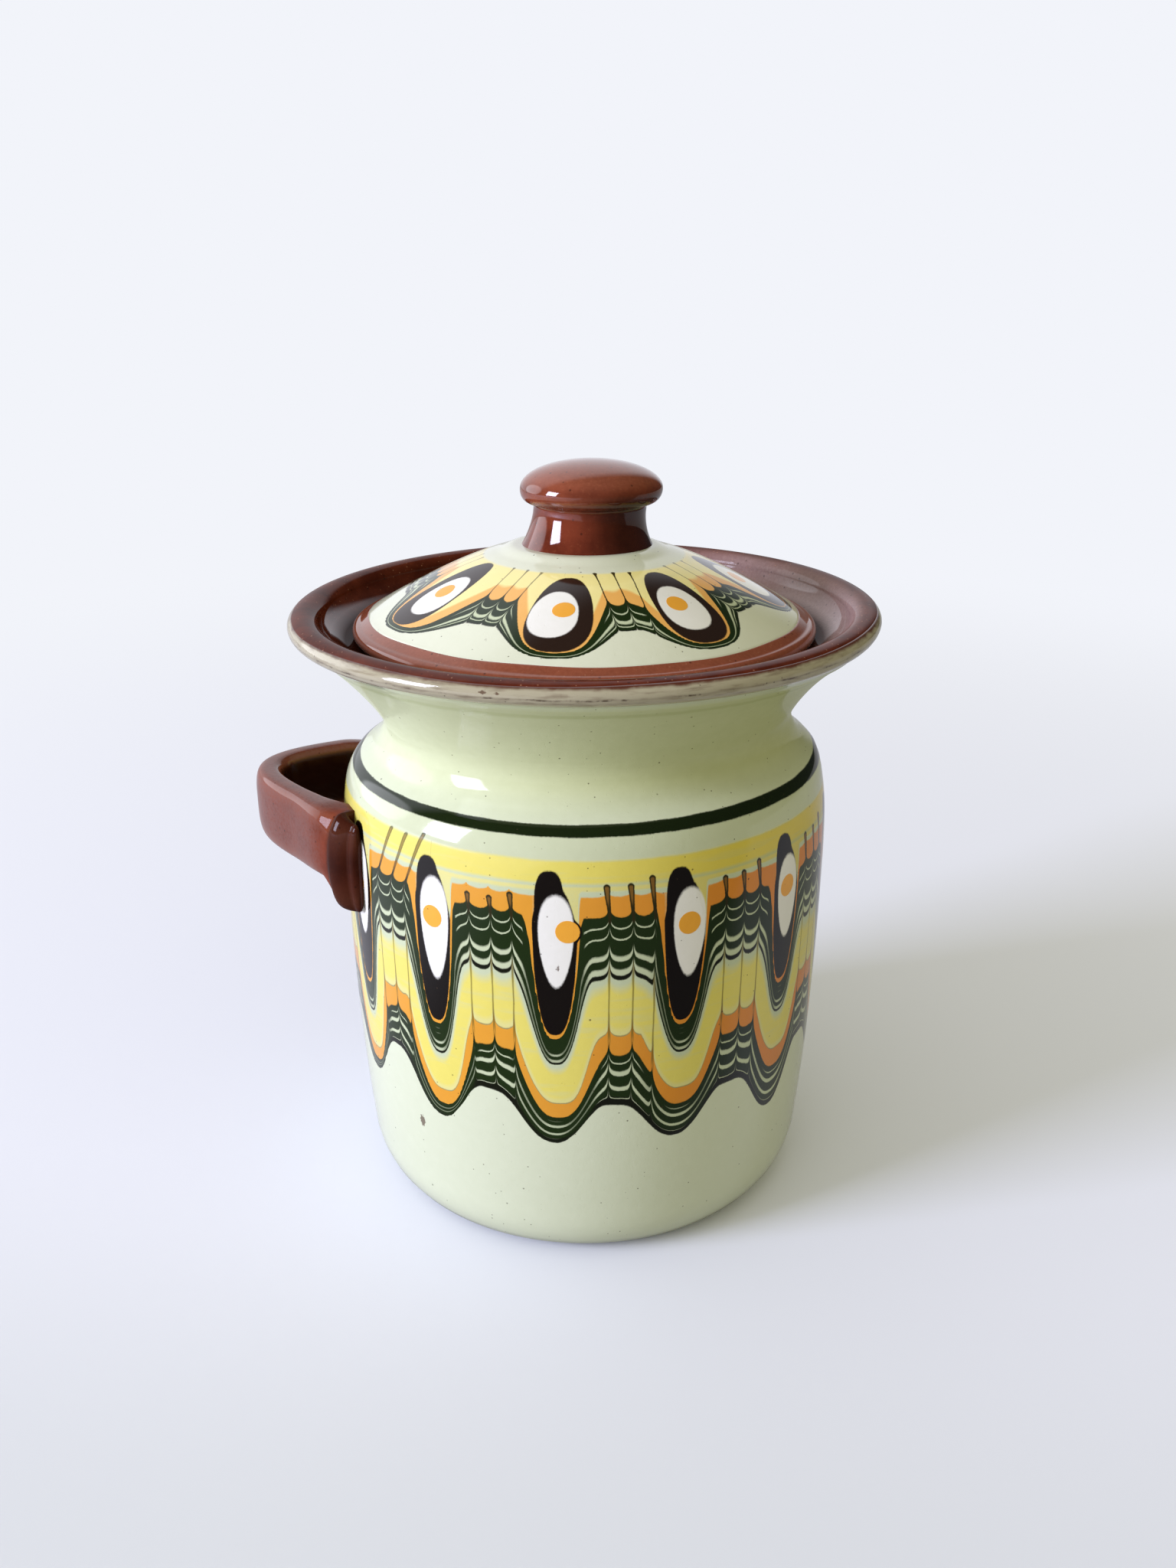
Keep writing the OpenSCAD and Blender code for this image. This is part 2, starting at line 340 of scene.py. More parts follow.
def pot_pattern(height, r):
    """Fields of the pattern on a grid of heights along the outside line, one column to an angle."""
    away, drop = nearest(pot_angle, drop_at)
    middle = drop_at + np.diff(np.append(drop_at, drop_at[0] + 360)) / 2
    combed, group = nearest(pot_angle, middle)
    shift = drawn([0, 0, 2.1, 0], DROPS, -1, 1)[group]
    lean = drawn([0.6, -0.13, -0.13, -0.1], DROPS, -0.15, 0.1)[group]
    top = drawn([72.7, 66.7, 69.2, 68.2, 69.2], DROPS, 67, 69.5)[group]
    ink = drawn([0.6, 1, 1, 1], DROPS, 0.7, 1)[group]
    tilt = np.clip(np.cos(np.radians(pot_angle + 55)), 0, 1) ** 3
    flat = POT_LEVELS[:, None] + POT_TILT[:, None] * tilt
    edges = valleys(away, flat, POT_SUNK[drop].T, POT_SHAPE)
    layer = undrag(height, edges, POT_LEVELS)
    inside = height - edges[-1]
    beside = np.clip(inside, 0, 1.1) * (away > 0)
    layer = np.where(inside > 0, POT_LEVELS[-1] + np.maximum(height - flat[-1], beside), layer)
    slope = (np.roll(edges[-1], -1) - np.roll(edges[-1], 1)) / (4 * np.pi * BELLY / POT_COLUMNS)
    side = away * ROUND
    body = np.minimum(inside / np.hypot(1, slope), oval(side, height - BODY_Z, *BODY_SIZE))
    head = oval(side - head_at[drop] * ROUND, height - head_top[drop] + HEAD_SIZE[1], *HEAD_SIZE, 2.7)
    half, centre = (WHITE_TOP - white_end[drop]) / 2, (WHITE_TOP + white_end[drop]) / 2
    egg = (side - white_at[drop] * ROUND) * (1 - 0.035 * (height - centre))
    white = oval(egg, height - centre, WHITE_HALF, half)
    yolk = oval(side - yolk_at[drop] * ROUND, height - yolk_height[drop], YOLK, YOLK)
    return dict(
        layer=layer, height=height, top=top, ink=ink, white=white, yolk=yolk,
        squeeze=squeeze(layer, height, r),
        comb=(combed - shift - lean * np.maximum(height - 64, 0)) * ROUND,
        pull=ease(np.abs(away), 4.4, 6.4) * ease(layer, 33.4, 37) * ease(layer, 68.5, 66.5),
        drop=np.maximum(np.maximum(head, body), yolk + 0.28),
        mark=spots(pot_angle, height, ROUND, POT_MARKS),
    )


# %% [markdown]
# ## The slip coat of the pot
# Slip is liquid clay that is poured or brushed on before the firing. It is a coat of its own, so it is made as a
# thin closed shell over the clay: the outer side follows the pot's line, and the inner side lies half a millimetre
# below it. At the lip the coat dives under the clay along a slightly wavy edge, as a wiped edge does.

# %% Pot slip
COAT_FROM, COAT_TO = 1.5, LIP_START + run(lip)[20]
wipe = COAT_TO + 0.16 * np.sin(np.radians(2 * pot_angle + 40)) + 0.1 * np.sin(np.radians(7 * pot_angle))
levels = np.concatenate([
    np.linspace(COAT_FROM, 24, 12, endpoint=False),
    np.linspace(24, 74, 96, endpoint=False),
    np.linspace(74, LIP_START, 22, endpoint=False),
    np.linspace(LIP_START, COAT_TO, 12),
])[:, None]
distance = levels + (wipe - COAT_TO) * ease(levels, LIP_START, COAT_TO)
outer = follow(outside, distance)
tuck = follow(outside, wipe[None] + 0.5, -0.45)
deeper = np.array([-0.4, -3.5, -7, -10.5, -13.5, -16.5, -19.5, -22.5, -25.5, -28, -30.5, -33.5, -38, -56, -80])
within = np.append(LIP_START + deeper, COAT_FROM)[:, None]
r, z = stacked(POT_COLUMNS, outer, tuck, follow(outside, within, -0.7))
HIDDEN_ROWS = 1 + len(within)
fields = pot_pattern(distance, outer[0])
fields = {key: np.pad(value + 0 * distance, [(0, HIDDEN_ROWS), (0, 0)], "edge") for key, value in fields.items()}
POT_STRIPS = [(12, 0.04, 1), (96, 0.82, 2), (22, 0.07, 1), (12, 0.05, 1), (HIDDEN_ROWS, 0.02, 1)]
pot_slip = make_piece("pot_slip", handmade(spun(r, z, POT_COLUMNS)), POT_STRIPS, fields, ring=True)
belongs(pot_slip, "pot", "pot_body")

# %% [markdown]
# ## The clay of the pot
# The clay body shows on the lip, down the mouth and inside, and under the base. It runs on below the coat, a
# little deeper than the coat's outer side, so the two pieces never fight for the same surface. The mesh carries
# numbers for its look: `dark` where little light gets in, `matte` where the glaze is dull, `sandy` where grains
# show, and a painted reflection: a pale sheen on one side of the mouth.

# %% The line inside the pot
LEDGE_Z, LEDGE, MOUTH, THROAT = 91.0, 36.5, 31.5, NECK - WALL
INSIDE, FLOOR, INNER_FOOT, CORNER = BELLY - WALL, 5.0, FOOT - WALL, 8.0
inside = join(
    bend([RIM - 2 * LIP, POT_TOP - LIP], [RIM - 2 * LIP, POT_TOP - 1.5 * LIP], [LEDGE + 0.7, LEDGE_Z + 0.5], 0.5),
    bend([LEDGE + 0.7, LEDGE_Z + 0.5], [LEDGE, LEDGE_Z], [LEDGE - 0.9, LEDGE_Z], 0.6, 8),
    bend([MOUTH + 0.8, LEDGE_Z], [MOUTH, LEDGE_Z], [MOUTH - 0.4, LEDGE_Z - 0.8], 0.6, 8),
    bend([MOUTH - 0.4, LEDGE_Z - 0.8], [THROAT, LEDGE_Z - 1.5 * WALL], [THROAT, NECK_Z], 0.5),
    shoulder([THROAT, NECK_Z], NECK_TURN - WALL / 2, [INSIDE, BELLY_Z], SHOULDER_TURN - WALL / 2),
    bend([INSIDE, BELLY_Z], [INSIDE, BELLY_Z / 2], [INNER_FOOT, FLOOR + CORNER], 0.6),
    bend([INNER_FOOT, FLOOR + CORNER], [INNER_FOOT, FLOOR], [INNER_FOOT - CORNER, FLOOR], 0.55),
)
print("inside line", len(inside), "points,", round(run(inside)[-1], 1), "mm long")

# %% Pot clay: the base, under the coat, the bare lip, the well and the floor
CLAY_COLUMNS, CLAY_ROWS = 360, (4, 44, 35, 89, 3)
clay_angle = angles(CLAY_COLUMNS)
clay_wipe = np.interp(clay_angle, pot_angle, wipe)
base = np.array([[0.0], [10], [20], [28]]), np.zeros((4, 1))
under = np.linspace(0, COAT_TO - 0.8, 44)[:, None]
bare = np.linspace(0, 1, 34)[:, None] * (run(outside)[-1] - clay_wipe) + clay_wipe
bare = np.concatenate([clay_wipe[None] - 0.45, bare])
well = np.linspace(0, run(inside)[-1], 90)[1:, None]
bottom = np.array([[16.0], [8], [0]]), np.full((3, 1), FLOOR)
r, z = stacked(
    CLAY_COLUMNS,
    base,
    follow(outside, under, -0.3 * ease(under, 0.6, COAT_FROM + 0.2)),
    follow(outside, bare, -0.3 * ease(clay_wipe - 0.1 - bare, 0, 0.3)),
    follow(inside, well),
    bottom,
)


def by_part(*values):
    """One value to a row, from a number or an array for each of the five parts."""
    return np.concatenate([np.broadcast_to(value, rows) for value, rows in zip(values, CLAY_ROWS)])[:, None]


deep = well[:, 0]
ledge = by_part(0.75, 0.75, 0.75, 0.3 + 0.7 * ease(deep, 2.5, 4.5), 1.0)
flared = by_part(0.0, 0.0, ease(np.linspace(0, 1, 35), 0.3, 0.9), ease(deep, 5.5, 2.0), 0.0)
values = {
    "dark": by_part(0.38, 0.38, 0.38, 0.38 + 0.54 * ease(deep, 1.0, 5.0), 0.92),
    "matte": np.maximum(ledge, 0.95 * ease(np.abs(clay_angle - 145), 30, 18)),
    "sandy": by_part(0.0, 0.0, 1.0, ease(deep, 3.0, 0.5), 0.0),
    # Painted reflection: a pale lilac sheen on the mouth's inner flare, on the right where it faces the window, stands
    # in for a blurred reflection.
    "painted_reflection": 0.85 * flared * ease(np.abs(clay_angle - 105), 70, 30),
}
CLAY_STRIPS = [(rows, share, 1) for rows, share in zip(CLAY_ROWS, (0.1, 0.05, 0.35, 0.4, 0.1))]
pot_clay = make_piece("pot_clay", handmade(spun(r, z, CLAY_COLUMNS)), CLAY_STRIPS, values)
belongs(pot_clay, "pot", "pot_body")

# %% [markdown]
# ## The strap handle
# A flat strap of clay is bent into a loop that lies level, and both ends are pressed on the wall. A sweep is the
# natural way: a rounded section is carried along the loop's middle line, it grows taller and fuller at the ends,
# and the last few sections shrink to close each end. The second half mirrors the first. The number `edge` is large on
# rounded edges, where runny glaze thins and lets rust through. A paler colour on the outer side and along the top
# is a painted sheen, standing in for the reflection of a bright wall.

# %% The strap's middle line
REACH, STRAP, STRAP_H, END_H, STRAP_TOP, END_ANGLE = 16.9, 4.6, 11.8, 15.6, 66.2, 36.0
end = -(BELLY + 0.4 * STRAP) * unit(END_ANGLE)
heading = unit(END_ANGLE)[::-1] * [-1, 1]
tip_x = -(BELLY + REACH - STRAP / 2)
tip = np.array([[tip_x, -0.56 * REACH], [tip_x, 0.0]])
near = cubic(end, end + 0.55 * REACH * heading, *tip, 89)
share = np.linspace(0, 1, len(near))
thick = STRAP * (1 + 0.25 * ease(share, 0, 0.15) * (1 - ease(share, 0.2, 0.45)))
ahead = np.gradient(near, axis=0)
ahead /= np.hypot(*ahead.T)[:, None]
ahead[0], ahead[-1] = heading, (0, 1)

FLANGE_ROWS, BEAD_ROWS = 12, 10
smear = np.linspace(1, 0, FLANGE_ROWS, endpoint=False)
press = STRAP * (1 - 0.5 * smear**2)
side = unit(END_ANGLE + 3.6 * smear)
flange = -(BELLY - 0.46 + press / 2)[:, None] * side
along = side[:, ::-1] * [-1, 1]
bead = np.radians(np.linspace(90, 0, BEAD_ROWS, endpoint=False))
close = flange[0] - 0.5 * press[0] * np.sin(bead)[:, None] * along[0]

line = np.concatenate([close, flange, near])
ahead = np.pad(np.concatenate([along, ahead]), [(BEAD_ROWS, 0), (0, 0)], "edge")
share = np.pad(share, (BEAD_ROWS + FLANGE_ROWS, 0))
thick = np.pad(np.append(press, thick), (BEAD_ROWS, 0), "edge")
shrink = np.concatenate([np.cos(bead), np.ones(len(line) - BEAD_ROWS)])
sunk = 1.2 * np.concatenate([np.ones(BEAD_ROWS), smear, np.zeros(len(near))])
line = np.concatenate([line, line[-2::-1] * [1, -1]])
ahead = np.concatenate([ahead, ahead[-2::-1] * [-1, 1]])
halves = (share, thick, shrink, sunk)
share, thick, shrink, sunk = (np.concatenate([part, part[-2::-1]])[:, None] for part in halves)
print("strap", len(line), "sections, thickest", round(thick.max(), 1), "mm")

# %% The strap's section, carried along the line
around = np.radians(np.linspace(0, 360, 80, endpoint=False))
soft = 0.55 + 0.3 * ease(share, 0.12, 0.0)
lobe = [np.sign(w) * np.abs(w) ** soft for w in (np.cos(around), np.sin(around))]
tall = END_H - sunk + (STRAP_H - END_H) * ease(share, 0, 0.13)
web = 2.4 * ease(share, 0.3, 0.02) * (share > 0)
across = shrink * (thick + web) / 2 * lobe[0] + web / 2
up = (tall - thick * (1 - shrink)) / 2 * (shrink > 1e-9) * lobe[1]
grid = np.stack([
    line[:, :1] + across * ahead[:, 1:],
    line[:, 1:] - across * ahead[:, :1],
    STRAP_TOP - sunk - tall / 2 + up,
], -1)
x, y, z = np.moveaxis(grid, -1, 0)
wall = run(outside) < LIP_START - 20
lean = (np.interp(z, outside[wall, 1], outside[wall, 0]) - BELLY) * ease(share, 0.12, 0.0)
far_end = (line[:, 1:] > 0) * 1.9 * ease(share, 0.52, 0.18)
sag = -0.0475 * y - far_end
grid = grid + np.stack([lean * x / np.hypot(x, y), lean * y / np.hypot(x, y), sag], -1)
print("strap reaches", round(-grid[..., 0].min() - BELLY, 1), "mm from the wall")

# %% Strap
edge = 0.7 * np.abs(np.sin(2 * around)) ** 3 + 0 * share
# Painted shade: the loop's inner face is darkened below its rounded top, where the strap shades it. The pressed ends
# are a darker brown.
inner_shade = ease(lobe[0], 0.72, 0.95) * ease((1 - lobe[1]) * tall / 2, 0.2, 1.6) * (share > 0)
dark = np.maximum(inner_shade, 0.78 * ease(share, 0.05, 0.0))
dull = np.maximum(inner_shade, np.maximum(0.4, 0.9 * ease(share, 0.3, 0.12)))
# Painted sheen: a paler colour on the outer side and along the top stands in for the reflection of a bright wall.
pale = np.maximum(0.7 * ease(-lobe[0], 0.3, 0.9), 0.6 * ease(lobe[1], 0.7, 0.95))
painted_sheen = pale * ease(share, 0.02, 0.15)
values = {"edge": edge[:, ::-1], "dark": dark[:, ::-1], "matte": dull[:, ::-1], "painted_sheen": painted_sheen[:, ::-1]}
strap = make_piece("strap", grid[:, ::-1], [(len(grid) - 1, 1.0, 1)], values)
belongs(strap, "pot", "strap_handle")

# %% [markdown]
# ## The lid
# The lid is a shallow dome with a ring underneath that keeps it in the throat. It is made as the pot is: a slip
# coat over the dome, and the clay, which shows as a brown edge and below. Here the drops run outwards, so the height
# of a ring is counted from the wiped edge towards the knob.

# %% Lid lines
LID, EDGE, CROWN, LID_TOP, RING, RING_IN, RING_LOW = 35.5, 1.2, 10.9, 104.0, 26.6, 23.6, 86.0
dome_run = LID - EDGE - CROWN
dome = join(
    [[0, LID_TOP]],
    bend([CROWN, LID_TOP], [CROWN + 0.34 * dome_run, LID_TOP - 1.06], [LID - EDGE, LEDGE_Z + 2 * EDGE], 0.6, 60),
    arc([LID - EDGE, LEDGE_Z + EDGE], EDGE, 90, -90, 24),
)
LID_COLUMNS = 600
lid_angle = angles(LID_COLUMNS)
LID_WIPE = CROWN + 24.2
lid_wipe = LID_WIPE + 0.12 * np.sin(np.radians(3 * lid_angle)) + 0.08 * np.sin(np.radians(11 * lid_angle + 60))
print("dome line", round(run(dome)[-1], 1), "mm, wiped edge at", LID_WIPE)

# %% Drops and rings on the lid
LID_ROUND = np.pi / 180 * 23.1
LID_HEIGHT = CROWN + 24.6
eye_at = np.array([-61.3, -7.5, 35.8, 85.5, 138.0, 189.5, 244.0])
EYES = len(eye_at)
eye_white = spread([1.6, -2.3, -0.7, 0.5], EYES, 1.5)
eye_yolk = spread([0.8, 0.65, -1.8, 0.0], EYES, 1.5)
eye_high = spread([19.8, 18.9, 19.2, 19.0], EYES, 0.4)
EYE_LOW, EYE_HALF, EYE_WHITE_Z, EYE_WHITE, EYE_YOLK_Z, EYE_YOLK = 3.0, 4.3, 10.6, (3.25, 4.85), 11.5, 1.6
LID_LEVELS = np.array([6.9, 12.15, 15.3])
LID_SUNK = np.array([[1.9], [2.95], [3.06]])
LID_SHAPE = [(19.0, 2.5, 1.5, 18.0, 2.5, 1.5), (18.0, 3.5, 2.4, 16.5, 3.5, 2.4), (18.0, 2.0, 2.0, 17.0, 2.0, 2.0)]


def lid_pattern(distance, r):
    """Fields of the lid's pattern on a grid of distances from the middle of the crown."""
    away, drop = nearest(lid_angle, eye_at)
    middle = eye_at + np.diff(np.append(eye_at, eye_at[0] + 360)) / 2
    combed, group = nearest(lid_angle, middle)
    shift = drawn([3.0, 1.4, -1.4], EYES, -1, 2)[group]
    ink = drawn([0.55, 1.0, 0.6], EYES, 0.5, 1)[group]
    height = LID_HEIGHT - distance
    long_side = np.where((away > 0) & (drop == 0), 0.7, 1.0)
    edges = valleys(away * long_side, LID_LEVELS[:, None] + 0 * away, LID_SUNK, LID_SHAPE)
    layer = undrag(height, edges, LID_LEVELS)
    above = LID_LEVELS[-1] + np.clip(height - edges[-1], 0, 1.2)
    layer = np.where(height > edges[-1], np.maximum(height, above), layer)
    side = away * LID_ROUND - 0.03 * (height - 11)
    long = eye_high[drop] / 2 - EYE_LOW / 2
    body = oval(side, height - EYE_LOW - long, EYE_HALF, long, 2.4)
    white = oval(side - eye_white[drop] * LID_ROUND, height - EYE_WHITE_Z, *EYE_WHITE, 2.2)
    yolk = oval(side - eye_yolk[drop] * LID_ROUND, height - EYE_YOLK_Z, EYE_YOLK, EYE_YOLK)
    return dict(
        layer=layer, height=height, top=20.3, ink=ink, white=white, yolk=yolk, drop=body,
        squeeze=squeeze(layer, height, r),
        comb=(combed - shift) * np.pi / 180 * r,
        pull=ease(np.abs(away), 9, 13) * ease(layer, 6, 11) * ease(layer, 17, 15),
        mark=spots(lid_angle, height, LID_ROUND, [(-26.5, 4.3, 0.22, 0.22)]),
    )


# %% Lid slip
levels = np.concatenate([np.linspace(LID_WIPE, CROWN - 1, 70), [CROWN / 2, 0]])[:, None]
distance = levels + (lid_wipe - LID_WIPE) * ease(levels, CROWN, LID_WIPE)
top = follow(dome, distance, -0.4 * ease(distance, 13.5, 10.6))
tuck = follow(dome, lid_wipe[None] + 0.5, 0.45)
lining = follow(dome, np.array([0, 5, 14, 20, 26, 30, LID_WIPE])[:, None], 0.6)
r, z = stacked(LID_COLUMNS, lining, tuck, top)
r[[0, -1]] = 0
HIDDEN_ROWS = 1 + len(lining[0])
fields = lid_pattern(distance, top[0])
fields = {key: np.pad(value + 0 * distance, [(HIDDEN_ROWS, 0), (0, 0)], "edge") for key, value in fields.items()}
LID_STRIPS = [(HIDDEN_ROWS, 0.03, 1), (69, 0.93, 2), (2, 0.04, 1)]
lid_slip = make_piece("lid_slip", spun(r, z, LID_COLUMNS), LID_STRIPS, fields)
belongs(lid_slip, "lid", "lid")

# %% Lid clay
below = join(
    bend([0, LID_TOP - 4], [RING_IN, LID_TOP - 4], [RING_IN, LEDGE_Z], 0.5),
    arc([RING_IN + 1.5, RING_LOW + 1.5], 1.5, 180, 360, 16),
    [[RING, LEDGE_Z]],
    [[LID - EDGE, LEDGE_Z]],
)
edge_wipe = np.interp(clay_angle, lid_angle, lid_wipe)
under = follow(below, np.linspace(0, run(below)[-1], 60)[:, None])
bare = run(dome)[-1] - np.linspace(0, 1, 24)[1:, None] * (run(dome)[-1] - edge_wipe)
bare = np.concatenate([bare, edge_wipe[None] - 0.45])
rim = follow(dome, bare, 0.3 * ease(edge_wipe - 0.1 - bare, 0, 0.3))
covered = follow(dome, np.linspace(LID_WIPE - 0.8, 0, 26)[:, None], 0.3)
r, z = stacked(CLAY_COLUMNS, under, rim, covered)
r[[0, -1]] = 0
rust = np.concatenate([np.zeros(60), np.full(24, 0.9), np.zeros(26)])[:, None]
EDGE_STRIPS = [(59, 0.5, 1), (24, 0.42, 1), (26, 0.08, 1)]
lid_clay = make_piece("lid_clay", spun(r, z, CLAY_COLUMNS), EDGE_STRIPS, {"edge": rust, "sandy": 0.6 * rust})
belongs(lid_clay, "lid", "lid")

# %% [markdown]
# ## The knob
# The knob was turned by hand and stuck on a little to one side, so its middle drifts as it rises. The drift is
# added to the spun grid, a row at a time. Its glaze is thin on the rim of the cap, where the rust shows. The
# cap's top gets a rust colour too, as painted light, and the right side of the stem is darkened as painted shade.

# %% Knob
CAP, STEM, CAP_Z, KNOB_TOP = 10.7, 8.5, 110.5, 116.8
knob_line = join(
    [[0, LID_TOP - 0.3], [10.3, LID_TOP - 0.3]],
    bend([10.2, LID_TOP], [STEM + 0.1, LID_TOP + 2.0], [STEM, LID_TOP + 5.2], 0.55, 24),
    bend([STEM, CAP_Z - 0.4], [STEM, CAP_Z], [STEM + 0.6, CAP_Z + 0.1], 0.6, 12),
    bend([STEM + 0.6, CAP_Z + 0.1], [CAP, CAP_Z + 0.3], [CAP, CAP_Z + 2.1], 0.6, 20),
    bend([CAP, CAP_Z + 2.1], [CAP, KNOB_TOP], [0, KNOB_TOP], 0.57, 60),
)
r, z = follow(knob_line, np.linspace(0, run(knob_line)[-1], 120)[:, None])
r[[0, -1]] = 0
drift = 0.45 + 0.65 * ease(z, LID_TOP, KNOB_TOP - 3)
KNOB_COLUMNS, ASIDE = 240, 10
grid = spun(r, z, KNOB_COLUMNS)
grid[..., :2] += drift[..., None] * unit(ASIDE)
# Rust on the cap's rim, and a lighter rust colour on the cap's top as painted light from above.
rust_and_light = 0.5 * ease(z, 113.4, 112.2) * ease(z, 110.8, 111.8) + 0.75 * ease(z, 112.4, 114.6)
knob_angle = angles(KNOB_COLUMNS)
# Painted shade: the right side of the stem, away from the window, is darkened.
shaded_side = 0.8 * ease(z, 113.4, 111.6) * ease(knob_angle, -20, 40) * ease(knob_angle, 170, 110)
knob = make_piece("knob_turned", grid, [(119, 1.0, 1)], {"edge": rust_and_light * (1 - shaded_side), "dark": shaded_side})
belongs(knob, "lid", "knob")

# %% [markdown]
# ## Writing shader maths as plain expressions
# A material is a graph of small nodes. To keep it readable, a socket is wrapped in a class whose operators add
# the Math nodes: `1 - mask` or `a * b + c` then builds what it says. Colours go through Mix nodes, and any other
# node comes from one method: its settings are made first, then its sockets get values or links.


# %% A socket with operators
class Paint:
    """A socket in a node tree. Arithmetic on it adds Math nodes and gives the new socket."""

    def __init__(self, tree, socket=None):
        self.tree, self.socket = tree, socket

    def node(self, kind, settings=None, inputs=None, out=0):
        """Adds a node of a kind: settings first (stops fill a ramp), then values or links by socket."""
        made = self.tree.nodes.new(kind)
        for key, value in (settings or {}).items():
            if key == "stops":
                ramp = made.color_ramp
                ramp.elements.remove(ramp.elements[1])
                for number, (place, colour) in enumerate(value):
                    stop = ramp.elements.new(place) if number else ramp.elements[0]
                    stop.position, stop.color = place, colour
            else:
                setattr(made, key, value)
        for key, value in (inputs or {}).items():
            if isinstance(value, Paint):
                self.tree.links.new(value.socket, made.inputs[key])
            else:
                made.inputs[key].default_value = value
        return Paint(self.tree, made.outputs[out])

    def math(self, operation, *values):
        return self.node("ShaderNodeMath", {"operation": operation}, dict(enumerate(values)))

    def adds(operation):
        """A method that adds one Math node, with this socket as its first value."""
        return lambda self, *others: self.math(operation, self, *others)

    __add__, __sub__, __mul__, __truediv__ = map(adds, ("ADD", "SUBTRACT", "MULTIPLY", "DIVIDE"))
    __pow__, __abs__, least, most = map(adds, ("POWER", "ABSOLUTE", "MINIMUM", "MAXIMUM"))
    __radd__, __rmul__ = __add__, __mul__

    def __rsub__(self, other):
        return self.math("SUBTRACT", other, self)

    def step(self, low, high):
        """0 below low, 1 above high and a smooth rise between, or a fall where low is above high."""
        ends = {0: self, 1: low, 2: high, 3: 0.0, 4: 1.0}
        return self.node("ShaderNodeMapRange", {"interpolation_type": "SMOOTHSTEP"}, ends)

    def between(self, low, high):
        """1 from low to high and 0 outside, with a short rise at either end."""
        return self.step(low - 0.1, low + 0.1) * self.step(high + 0.1, high - 0.1)

    def mix(self, first, second):
        """The first colour where this is 0, the second where it is 1."""
        return self.node("ShaderNodeMix", {"data_type": "RGBA"}, {0: self, 6: first, 7: second}, 2)

    def times(self, tint):
        """This colour multiplied by another."""
        settings = {"data_type": "RGBA", "blend_type": "MULTIPLY"}
        return self.node("ShaderNodeMix", settings, {0: 1.0, 6: self, 7: tint}, 2)

    def value(self, name):
        """A number that the mesh carries at its points."""
        return self.node("ShaderNodeAttribute", {"attribute_name": name}, out="Fac")

    def place(self):
        return self.node("ShaderNodeTexCoord", out="Object")

    def axis(self, number):
        """One coordinate of the place, in metres: 0 for x, 1 for y."""
        return self.node("ShaderNodeSeparateXYZ", inputs={0: self.place()}, out=number)

    def ray(self, kind):
        """1 for rays of a kind, such as those from the camera."""
        return self.node("ShaderNodeLightPath", out=f"Is {kind} Ray")

    def noise(self, size, detail=2.0, rough=0.5, place=None):
        """Soft noise whose lumps are about `size` millimetres across."""
        lumps = {"Vector": place or self.place(), "Scale": 1000 / size, "Detail": detail, "Roughness": rough}
        return self.node("ShaderNodeTexNoise", inputs=lumps)

    def streaks(self, size, flat):
        """Noise whose lumps are `size` mm tall and `flat` times as wide, like marks of the potter's fingers."""
        flatter = {0: self.place(), 1: (1 / flat, 1 / flat, 1.0)}
        return self.noise(size, 3.0, place=self.node("ShaderNodeVectorMath", {"operation": "MULTIPLY"}, flatter))

    def specks(self, size, share, spot):
        """Small round spots: cells about `size` mm apart, a share of which holds a spot of about `spot` mm."""
        cell = {"Vector": self.place(), "Scale": 1000 / size}
        far = self.node("ShaderNodeTexVoronoi", inputs=cell)
        colour = self.node("ShaderNodeTexVoronoi", inputs=cell, out="Color")
        pick = self.node("ShaderNodeSeparateColor", inputs={0: colour})
        return far.step(spot / size, 0.4 * spot / size) * pick.step(1 - share, 1.01 - share)


def paint(red, green, blue):
    """Linear colour from the 0 to 255 values that a colour picker shows."""
    seen = np.array([red, green, blue]) / 255
    linear = np.where(seen <= 0.04045, seen / 12.92, ((seen + 0.055) / 1.055) ** 2.4)
    return (*linear.tolist(), 1.0)


def layered(colour, *coats):
    """Colours laid one over the other, each where its mask is 1."""
    for mask, over in coats:
        colour = mask.mix(colour, over)
    return colour


def glazed(name, roughness, coat=0.05):
    """An empty glazed material: one Principled shader under a clear coat, and a socket to start from."""
    material = bpy.data.materials.new(name)
    material.use_nodes = True
    shader = material.node_tree.nodes["Principled BSDF"]
    finish = {"Roughness": roughness, "Specular IOR Level": 0.0, "Coat Weight": 1.0, "Coat Roughness": coat}
    for key, value in finish.items():
        shader.inputs[key].default_value = value
    return material, shader, Paint(material.node_tree)


def link(source, shader, socket):
    """Feeds a socket of a shader."""
    source.tree.links.new(source.socket, shader.inputs[socket])


# %% [markdown]
# ## Slips under a clear glaze
# Each ring of slip is a stretch of `layer`, so a ramp with a stop on either side of every edge colours them all.
# A little noise is added first, so no edge is ruler straight. The comb lowers `layer` close to each of its three
# lines, which lifts the rings into cusps, and a dark hook of slip stands over each line where the comb was lifted.
# Where the drag squeezes the rings, fine pale lines fade and the greens run into one.

# %% Slip colours
SLIP = {
    "ground": paint(212, 217, 192), "thin ground": paint(202, 207, 176), "pale": paint(196, 204, 172),
    "yellow": paint(226, 212, 108), "straw": paint(220, 212, 140), "orange": paint(222, 154, 54),
    "green": paint(28, 43, 15), "line": paint(24, 34, 12), "black": paint(18, 20, 10), "grey": paint(150, 142, 96),
    "drop": paint(16, 10, 8), "white": paint(238, 235, 232), "yolk": paint(238, 168, 60),
    "lid ground": paint(219, 221, 200), "lid yellow": paint(242, 227, 154), "lid orange": paint(236, 176, 94),
    "lid drop": paint(42, 28, 21),
}


